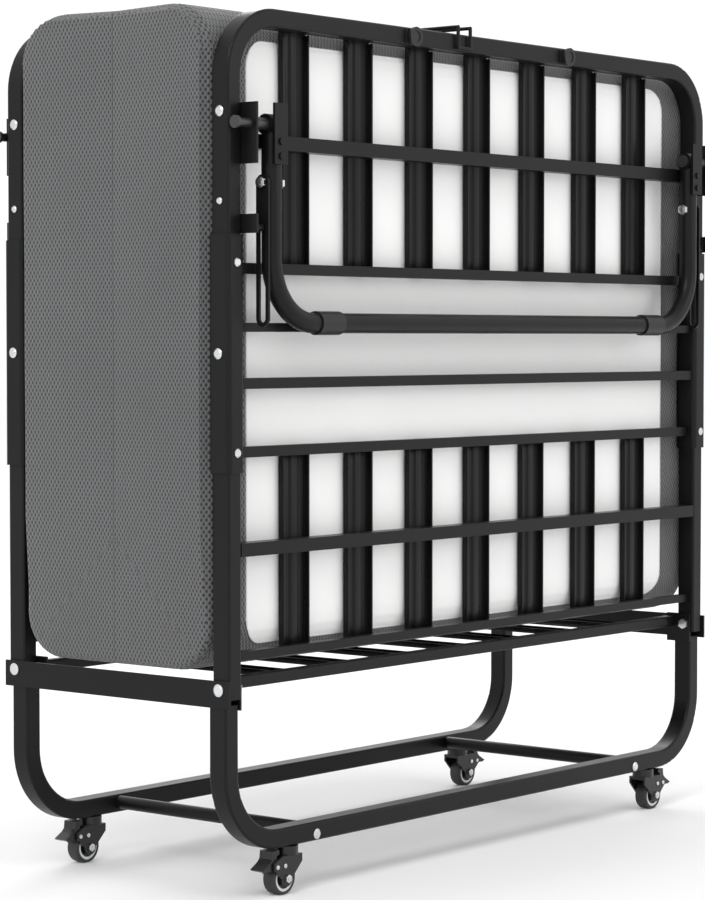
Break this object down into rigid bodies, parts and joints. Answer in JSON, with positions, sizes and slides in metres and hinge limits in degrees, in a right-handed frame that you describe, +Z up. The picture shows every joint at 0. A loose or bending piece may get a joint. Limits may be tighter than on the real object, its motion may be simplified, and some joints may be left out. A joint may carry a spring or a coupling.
{
  "type": "rollaway bed",
  "caption": "Folding guest bed stored upright on a wheeled base: black tube frame with ribbed slats, swing-out end legs, wire latch, braked casters and a folded mesh-sided mattress.",
  "frame": {"origin": "centre of the folded bed's footprint, on the floor", "axes": "+X along the bed's width, +Y from the front half to the back half, +Z up"},
  "size_m": [0.975, 0.404, 1.0061],
  "materials": {
    "black_steel": "satin powder coat",
    "dark_steel": "blackened steel",
    "bolt_steel": "zinc plated",
    "black_plastic": "matte",
    "caster_plastic": "semi-gloss",
    "tyre": "smooth",
    "mattress": "woven spacer mesh and white cover"
  },
  "bodies": {
    "cart": {"base_front": "black_steel", "base_back": "black_steel", "cross_tubes": "black_steel", "side_rails": "black_steel", "corner_plates": "black_steel", "mid_bars": "black_steel", "mid_slats": "black_steel", "hinge_bolts": "bolt_steel", "base_bolts": "bolt_steel", "mattress_middle": "mattress"},
    "front_half": {"front_head_frame": "black_steel", "front_lower_tubes": "black_steel", "front_sleeves": "black_steel", "front_wide_bars": "black_steel", "front_narrow_bars": "black_steel", "front_upper_slats": "black_steel", "front_lower_slats": "black_steel", "front_leg_mounts": "black_steel", "front_pivot_pins": "dark_steel", "front_bolts": "bolt_steel", "front_bumpers": "black_plastic", "front_mattress": "mattress"},
    "back_half": {"back_head_frame": "black_steel", "back_lower_tubes": "black_steel", "back_sleeves": "black_steel", "back_wide_bars": "black_steel", "back_narrow_bars": "black_steel", "back_upper_slats": "black_steel", "back_lower_slats": "black_steel", "back_leg_mounts": "black_steel", "back_pivot_pins": "dark_steel", "back_bolts": "bolt_steel", "back_bumpers": "black_plastic", "back_mattress": "mattress", "latch_clip": "black_steel"},
    "front_leg": {"front_leg_tube": "black_steel", "front_leg_plates": "black_steel", "front_foot_sleeves": "black_plastic"},
    "back_leg": {"back_leg_tube": "black_steel", "back_leg_plates": "black_steel", "back_foot_sleeves": "black_plastic"},
    "front_stay": {"front_stays": "black_steel"},
    "back_stay": {"back_stays": "black_steel"},
    "latch": {"latch_bail": "black_steel"},
    "caster_1": {"caster_fork_1": "caster_plastic"},
    "wheel_1": {"caster_wheel_1": "tyre"},
    "pedal_1": {"caster_pedal_1": "caster_plastic"},
    "caster_2": {"caster_fork_2": "caster_plastic"},
    "wheel_2": {"caster_wheel_2": "tyre"},
    "pedal_2": {"caster_pedal_2": "caster_plastic"},
    "caster_3": {"caster_fork_3": "caster_plastic"},
    "wheel_3": {"caster_wheel_3": "tyre"},
    "pedal_3": {"caster_pedal_3": "caster_plastic"},
    "caster_4": {"caster_fork_4": "caster_plastic"},
    "wheel_4": {"caster_wheel_4": "tyre"},
    "pedal_4": {"caster_pedal_4": "caster_plastic"}
  },
  "joints": [
    {"name": "front_half_fold", "type": "hinge", "parent": "cart", "child": "front_half", "pos_m": [0, -0.1605, 0.242], "axis": [1, 0, 0], "range_deg": [0, 90]},
    {"name": "front_leg_swing", "type": "hinge", "parent": "front_half", "child": "front_leg", "pos_m": [0, -0.1855, 0.864], "axis": [-1, 0, 0], "range_deg": [0, 111]},
    {"name": "front_stay_swing", "type": "hinge", "parent": "front_leg", "child": "front_stay", "pos_m": [0, -0.1855, 0.8], "axis": [-1, 0, 0], "range_deg": [-136, 0]},
    {"name": "back_half_fold", "type": "hinge", "parent": "cart", "child": "back_half", "pos_m": [0, 0.1605, 0.242], "axis": [-1, 0, 0], "range_deg": [0, 90]},
    {"name": "back_leg_swing", "type": "hinge", "parent": "back_half", "child": "back_leg", "pos_m": [0, 0.1855, 0.864], "axis": [1, 0, 0], "range_deg": [0, 111]},
    {"name": "back_stay_swing", "type": "hinge", "parent": "back_leg", "child": "back_stay", "pos_m": [0, 0.1855, 0.8], "axis": [1, 0, 0], "range_deg": [-136, 0]},
    {"name": "latch_lift", "type": "hinge", "parent": "back_half", "child": "latch", "pos_m": [-0.06, 0.1605, 1.0019], "axis": [-1, 0, 0], "range_deg": [0, 110]},
    {"name": "caster_swivel_1", "type": "hinge", "parent": "cart", "child": "caster_1", "pos_m": [-0.366, -0.1555, 0.06], "axis": [0, 0, 1], "continuous": true},
    {"name": "wheel_roll_1", "type": "hinge", "parent": "caster_1", "child": "wheel_1", "pos_m": [-0.378, -0.1555, 0.019], "axis": [0, -1, 0], "continuous": true},
    {"name": "brake_pedal_1", "type": "hinge", "parent": "caster_1", "child": "pedal_1", "pos_m": [-0.395, -0.1555, 0.034], "axis": [0, -1, 0], "range_deg": [0, 10]},
    {"name": "caster_swivel_2", "type": "hinge", "parent": "cart", "child": "caster_2", "pos_m": [0.366, -0.1555, 0.06], "axis": [0, 0, 1], "continuous": true},
    {"name": "wheel_roll_2", "type": "hinge", "parent": "caster_2", "child": "wheel_2", "pos_m": [0.378, -0.1555, 0.019], "axis": [0, 1, 0], "continuous": true},
    {"name": "brake_pedal_2", "type": "hinge", "parent": "caster_2", "child": "pedal_2", "pos_m": [0.395, -0.1555, 0.034], "axis": [0, 1, 0], "range_deg": [0, 10]},
    {"name": "caster_swivel_3", "type": "hinge", "parent": "cart", "child": "caster_3", "pos_m": [-0.366, 0.1555, 0.06], "axis": [0, 0, 1], "continuous": true},
    {"name": "wheel_roll_3", "type": "hinge", "parent": "caster_3", "child": "wheel_3", "pos_m": [-0.378, 0.1555, 0.019], "axis": [0, -1, 0], "continuous": true},
    {"name": "brake_pedal_3", "type": "hinge", "parent": "caster_3", "child": "pedal_3", "pos_m": [-0.395, 0.1555, 0.034], "axis": [0, -1, 0], "range_deg": [0, 10]},
    {"name": "caster_swivel_4", "type": "hinge", "parent": "cart", "child": "caster_4", "pos_m": [0.366, 0.1555, 0.06], "axis": [0, 0, 1], "continuous": true},
    {"name": "wheel_roll_4", "type": "hinge", "parent": "caster_4", "child": "wheel_4", "pos_m": [0.378, 0.1555, 0.019], "axis": [0, 1, 0], "continuous": true},
    {"name": "brake_pedal_4", "type": "hinge", "parent": "caster_4", "child": "pedal_4", "pos_m": [0.395, 0.1555, 0.034], "axis": [0, 1, 0], "range_deg": [0, 10]}
  ],
  "couplings": [
    {"joint": "front_stay_swing", "follows": "front_leg_swing", "ratio": -1.2123},
    {"joint": "back_stay_swing", "follows": "back_leg_swing", "ratio": -1.2123},
    {"joint": "latch_lift", "follows": "front_half_fold", "ratio": 1.2}
  ]
}
